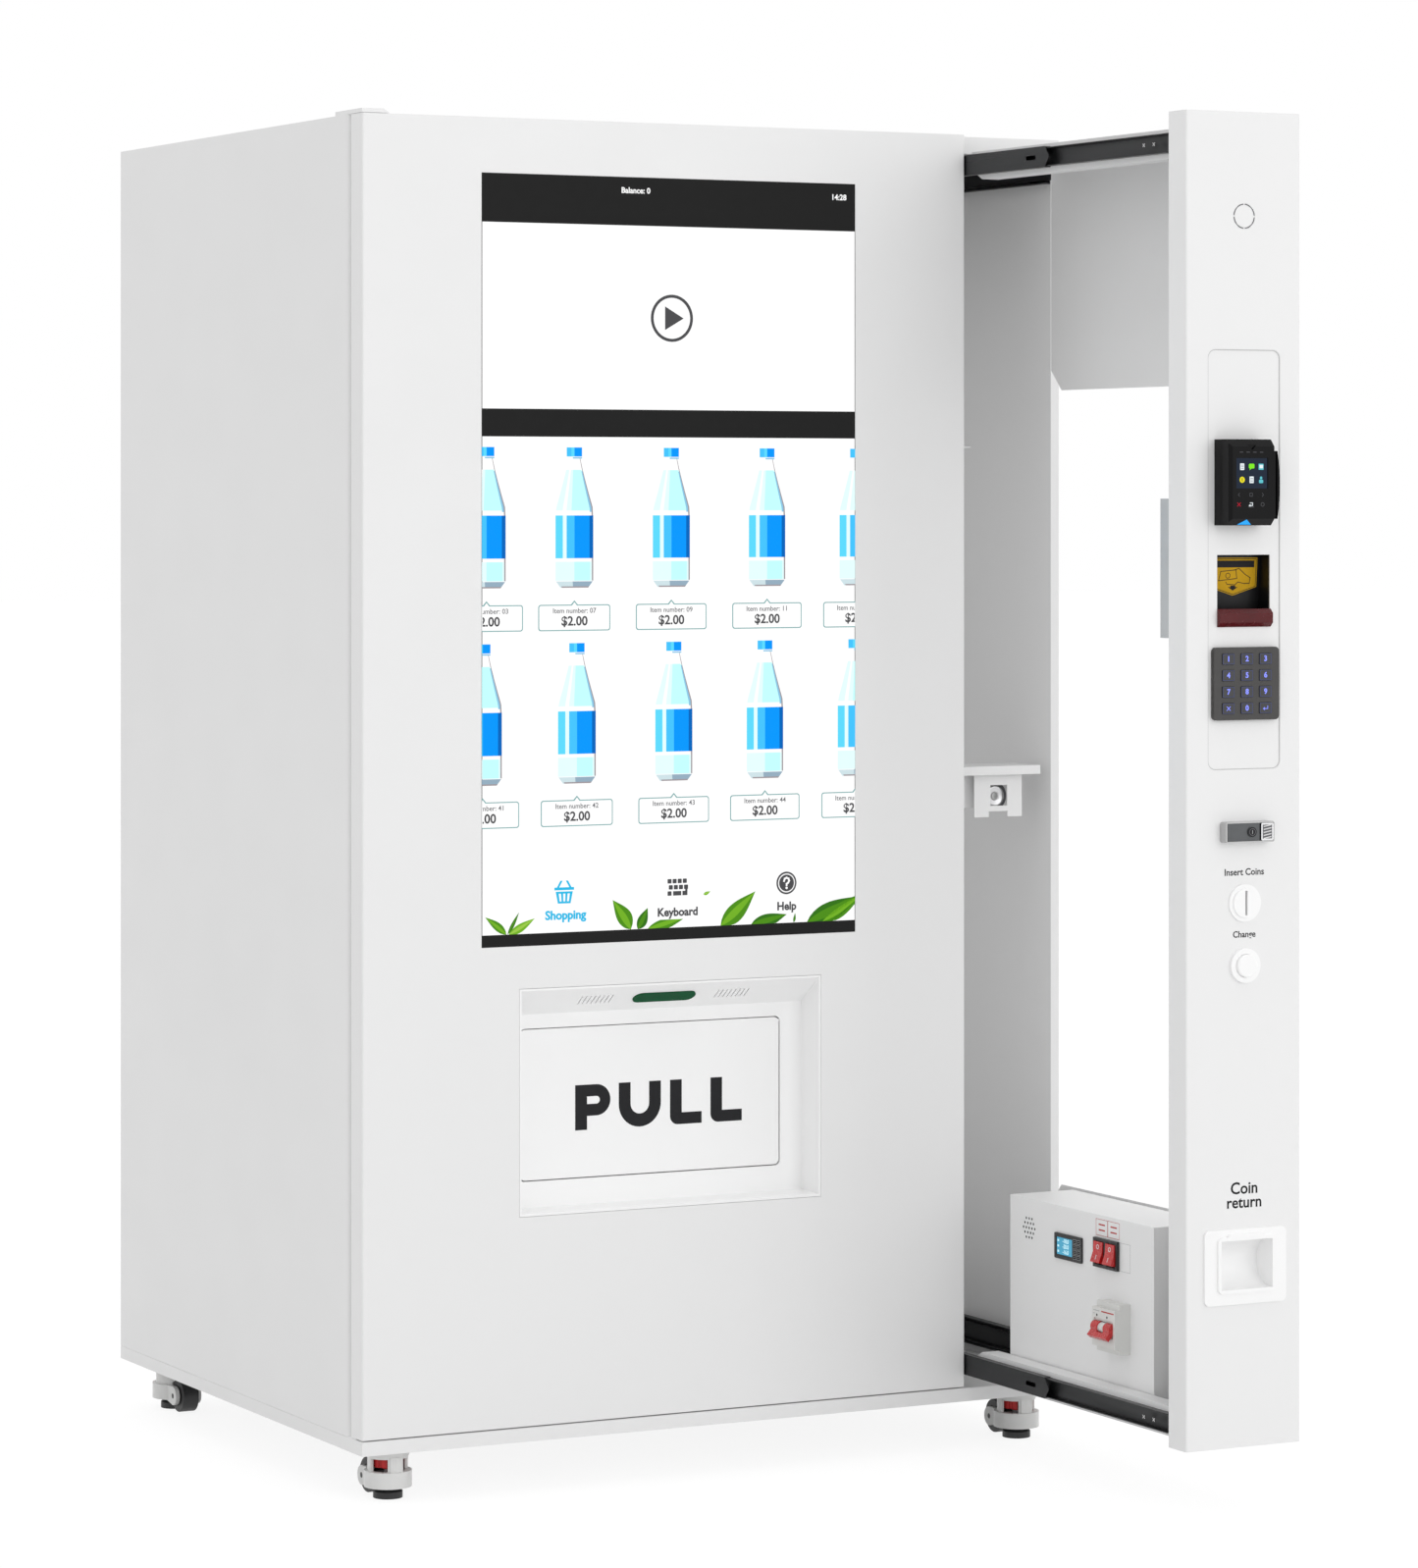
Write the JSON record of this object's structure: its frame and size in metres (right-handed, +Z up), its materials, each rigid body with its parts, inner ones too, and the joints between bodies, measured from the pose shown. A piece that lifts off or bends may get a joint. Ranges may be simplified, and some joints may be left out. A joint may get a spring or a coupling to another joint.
{
  "type": "ice cream vending machine",
  "caption": "Ice cream vending machine: freezer cabinet on levelling casters with a screen door, delivery hatch and a payment column that slides out",
  "frame": {"origin": "on the floor under the middle of the whole machine, with the payment column drawn out as in the picture", "axes": "+Z up, -Y out of the door's front, +X to the right seen from the front"},
  "size_m": [1.163, 1.58, 1.956],
  "materials": {
    "white_paint": "fine orange-peel powder coat, satin",
    "liner_white": "smooth pressed freezer liner",
    "grey_steel": "plain metal, dull",
    "rail_steel": "black coated rail steel, greased",
    "bright_steel": "polished metal",
    "dark_paint": "black painted metal",
    "wire_coat": "white coated rack steel",
    "black_plastic": "finely grained moulded plastic",
    "dark_grey_plastic": "grained moulded plastic",
    "white_plastic": "moulded plastic",
    "screen_glass": "gloss glass over a lit picture",
    "gasket_rubber": "soft extruded seal",
    "green_light": "lit translucent plastic",
    "red_plastic": "moulded plastic",
    "dark_red_lens": "translucent lens",
    "tread_rubber": "hard black caster tread"
  },
  "bodies": {
    "root": {"cabinet_shell": "white_paint", "freezer_liner": "liner_white", "base_frame": "white_paint", "slide_outer_rails": "rail_steel", "latch_bracket": "white_paint", "door_hinges": "white_paint", "product_rack": "wire_coat", "compressor_unit": "dark_paint"},
    "lift": {"lift_platform": "grey_steel"},
    "door": {"door_shell": "white_paint", "door_inner_panel": "liner_white", "door_gasket": "gasket_rubber", "display_screen": "screen_glass", "hatch_surround": "liner_white", "hatch_light": "green_light"},
    "flap": {"hatch_flap": "liner_white"},
    "middle_slides": {"slide_middle_rails": "rail_steel"},
    "column": {"slide_inner_rails": "rail_steel", "column_trays": "white_paint", "column_fascia": "white_paint", "card_reader": "black_plastic", "bill_acceptor": "black_plastic", "bill_bezel": "dark_red_lens", "keypad_frame": "dark_grey_plastic", "coin_fittings": "white_plastic", "coin_return_cup": "white_plastic", "lock_body": "grey_steel", "control_box": "white_paint", "panel_instruments": "black_plastic", "breaker_body": "white_plastic"},
    "change_button": {"change_button": "white_plastic"},
    "lock_lever": {"lock_lever": "dark_grey_plastic"},
    "lock_push": {"lock_push_button": "bright_steel"},
    "rocker_left": {"rocker_left": "red_plastic"},
    "rocker_right": {"rocker_right": "red_plastic"},
    "breaker_lever": {"breaker_lever": "red_plastic"},
    "key_1": {"key_1": "black_plastic"},
    "key_2": {"key_2": "black_plastic"},
    "key_3": {"key_3": "black_plastic"},
    "key_4": {"key_4": "black_plastic"},
    "key_5": {"key_5": "black_plastic"},
    "key_6": {"key_6": "black_plastic"},
    "key_7": {"key_7": "black_plastic"},
    "key_8": {"key_8": "black_plastic"},
    "key_9": {"key_9": "black_plastic"},
    "key_clear": {"key_clear": "black_plastic"},
    "key_0": {"key_0": "black_plastic"},
    "key_enter": {"key_enter": "black_plastic"},
    "swivel_front_left": {"caster_housing_front_left": "white_plastic"},
    "wheel_front_left": {"caster_wheel_front_left": "tread_rubber"},
    "foot_front_left": {"caster_foot_front_left": "black_plastic"},
    "swivel_front_right": {"caster_housing_front_right": "white_plastic"},
    "wheel_front_right": {"caster_wheel_front_right": "tread_rubber"},
    "foot_front_right": {"caster_foot_front_right": "black_plastic"},
    "swivel_rear_left": {"caster_housing_rear_left": "white_plastic"},
    "wheel_rear_left": {"caster_wheel_rear_left": "tread_rubber"},
    "foot_rear_left": {"caster_foot_rear_left": "black_plastic"},
    "swivel_rear_right": {"caster_housing_rear_right": "white_plastic"},
    "wheel_rear_right": {"caster_wheel_rear_right": "tread_rubber"},
    "foot_rear_right": {"caster_foot_rear_right": "black_plastic"}
  },
  "joints": [
    {"name": "door_hinge", "type": "hinge", "parent": "root", "child": "door", "pos_m": [-0.5735, -0.113, 1], "axis": [0, 0, -1], "range_deg": [0, 105]},
    {"name": "hatch_flap_hinge", "type": "hinge", "parent": "door", "child": "flap", "pos_m": [-0.0955, -0.092, 0.645], "axis": [-1, 0, 0], "range_deg": [0, 75]},
    {"name": "column_slide", "type": "slide", "parent": "root", "child": "column", "axis": [0, 1, 0], "range_m": [0, 0.602]},
    {"name": "middle_slide", "type": "slide", "parent": "root", "child": "middle_slides", "axis": [0, 1, 0], "range_m": [0, 0.301]},
    {"name": "lift_slide", "type": "slide", "parent": "root", "child": "lift", "axis": [0, 0, 1], "range_m": [0, 1]},
    {"name": "change_press", "type": "slide", "parent": "column", "child": "change_button", "axis": [0, 1, 0], "range_m": [0, 0.003], "stiffness_N_per_m": 400, "springref_m": -0.001},
    {"name": "lock_lever_hinge", "type": "hinge", "parent": "column", "child": "lock_lever", "pos_m": [0.4555, -0.762, 0.948], "axis": [0, 0, -1], "range_deg": [0, 50]},
    {"name": "lock_push", "type": "slide", "parent": "column", "child": "lock_push", "axis": [0, 1, 0], "range_m": [0, 0.003], "stiffness_N_per_m": 600, "springref_m": -0.001},
    {"name": "rocker_left_hinge", "type": "hinge", "parent": "column", "child": "rocker_left", "pos_m": [0.432, -0.464, 0.33], "axis": [0, 1, 0], "range_deg": [-24, 0]},
    {"name": "rocker_right_hinge", "type": "hinge", "parent": "column", "child": "rocker_right", "pos_m": [0.432, -0.496, 0.33], "axis": [0, 1, 0], "range_deg": [-24, 0]},
    {"name": "breaker_lever_hinge", "type": "hinge", "parent": "column", "child": "breaker_lever", "pos_m": [0.41, -0.5115, 0.2305], "axis": [0, 1, 0], "range_deg": [0, 100]},
    {"name": "key_1_press", "type": "slide", "parent": "column", "child": "key_1", "axis": [0, 1, 0], "range_m": [0, 0.0012], "stiffness_N_per_m": 400, "springref_m": -0.0005},
    {"name": "key_2_press", "type": "slide", "parent": "column", "child": "key_2", "axis": [0, 1, 0], "range_m": [0, 0.0012], "stiffness_N_per_m": 400, "springref_m": -0.0005},
    {"name": "key_3_press", "type": "slide", "parent": "column", "child": "key_3", "axis": [0, 1, 0], "range_m": [0, 0.0012], "stiffness_N_per_m": 400, "springref_m": -0.0005},
    {"name": "key_4_press", "type": "slide", "parent": "column", "child": "key_4", "axis": [0, 1, 0], "range_m": [0, 0.0012], "stiffness_N_per_m": 400, "springref_m": -0.0005},
    {"name": "key_5_press", "type": "slide", "parent": "column", "child": "key_5", "axis": [0, 1, 0], "range_m": [0, 0.0012], "stiffness_N_per_m": 400, "springref_m": -0.0005},
    {"name": "key_6_press", "type": "slide", "parent": "column", "child": "key_6", "axis": [0, 1, 0], "range_m": [0, 0.0012], "stiffness_N_per_m": 400, "springref_m": -0.0005},
    {"name": "key_7_press", "type": "slide", "parent": "column", "child": "key_7", "axis": [0, 1, 0], "range_m": [0, 0.0012], "stiffness_N_per_m": 400, "springref_m": -0.0005},
    {"name": "key_8_press", "type": "slide", "parent": "column", "child": "key_8", "axis": [0, 1, 0], "range_m": [0, 0.0012], "stiffness_N_per_m": 400, "springref_m": -0.0005},
    {"name": "key_9_press", "type": "slide", "parent": "column", "child": "key_9", "axis": [0, 1, 0], "range_m": [0, 0.0012], "stiffness_N_per_m": 400, "springref_m": -0.0005},
    {"name": "key_clear_press", "type": "slide", "parent": "column", "child": "key_clear", "axis": [0, 1, 0], "range_m": [0, 0.0012], "stiffness_N_per_m": 400, "springref_m": -0.0005},
    {"name": "key_0_press", "type": "slide", "parent": "column", "child": "key_0", "axis": [0, 1, 0], "range_m": [0, 0.0012], "stiffness_N_per_m": 400, "springref_m": -0.0005},
    {"name": "key_enter_press", "type": "slide", "parent": "column", "child": "key_enter", "axis": [0, 1, 0], "range_m": [0, 0.0012], "stiffness_N_per_m": 400, "springref_m": -0.0005},
    {"name": "swivel_front_left", "type": "hinge", "parent": "root", "child": "swivel_front_left", "pos_m": [-0.5155, -0.089, 0.063], "axis": [0, 0, 1], "continuous": true},
    {"name": "wheel_front_left", "type": "hinge", "parent": "swivel_front_left", "child": "wheel_front_left", "pos_m": [-0.5155, -0.0435, 0.025], "axis": [1, 0, 0], "continuous": true},
    {"name": "foot_front_left", "type": "slide", "parent": "swivel_front_left", "child": "foot_front_left", "axis": [0, 0, -1], "range_m": [-0.003, 0.009]},
    {"name": "swivel_front_right", "type": "hinge", "parent": "root", "child": "swivel_front_right", "pos_m": [0.5155, -0.089, 0.063], "axis": [0, 0, 1], "continuous": true},
    {"name": "wheel_front_right", "type": "hinge", "parent": "swivel_front_right", "child": "wheel_front_right", "pos_m": [0.5155, -0.0435, 0.025], "axis": [1, 0, 0], "continuous": true},
    {"name": "foot_front_right", "type": "slide", "parent": "swivel_front_right", "child": "foot_front_right", "axis": [0, 0, -1], "range_m": [-0.003, 0.009]},
    {"name": "swivel_rear_left", "type": "hinge", "parent": "root", "child": "swivel_rear_left", "pos_m": [-0.5155, 0.73, 0.063], "axis": [0, 0, 1], "continuous": true},
    {"name": "wheel_rear_left", "type": "hinge", "parent": "swivel_rear_left", "child": "wheel_rear_left", "pos_m": [-0.5155, 0.6845, 0.025], "axis": [1, 0, 0], "continuous": true},
    {"name": "foot_rear_left", "type": "slide", "parent": "swivel_rear_left", "child": "foot_rear_left", "axis": [0, 0, -1], "range_m": [-0.003, 0.009]},
    {"name": "swivel_rear_right", "type": "hinge", "parent": "root", "child": "swivel_rear_right", "pos_m": [0.5155, 0.73, 0.063], "axis": [0, 0, 1], "continuous": true},
    {"name": "wheel_rear_right", "type": "hinge", "parent": "swivel_rear_right", "child": "wheel_rear_right", "pos_m": [0.5155, 0.6845, 0.025], "axis": [1, 0, 0], "continuous": true},
    {"name": "foot_rear_right", "type": "slide", "parent": "swivel_rear_right", "child": "foot_rear_right", "axis": [0, 0, -1], "range_m": [-0.003, 0.009]}
  ],
  "couplings": [
    {"joint": "middle_slide", "follows": "column_slide", "ratio": 0.5}
  ]
}
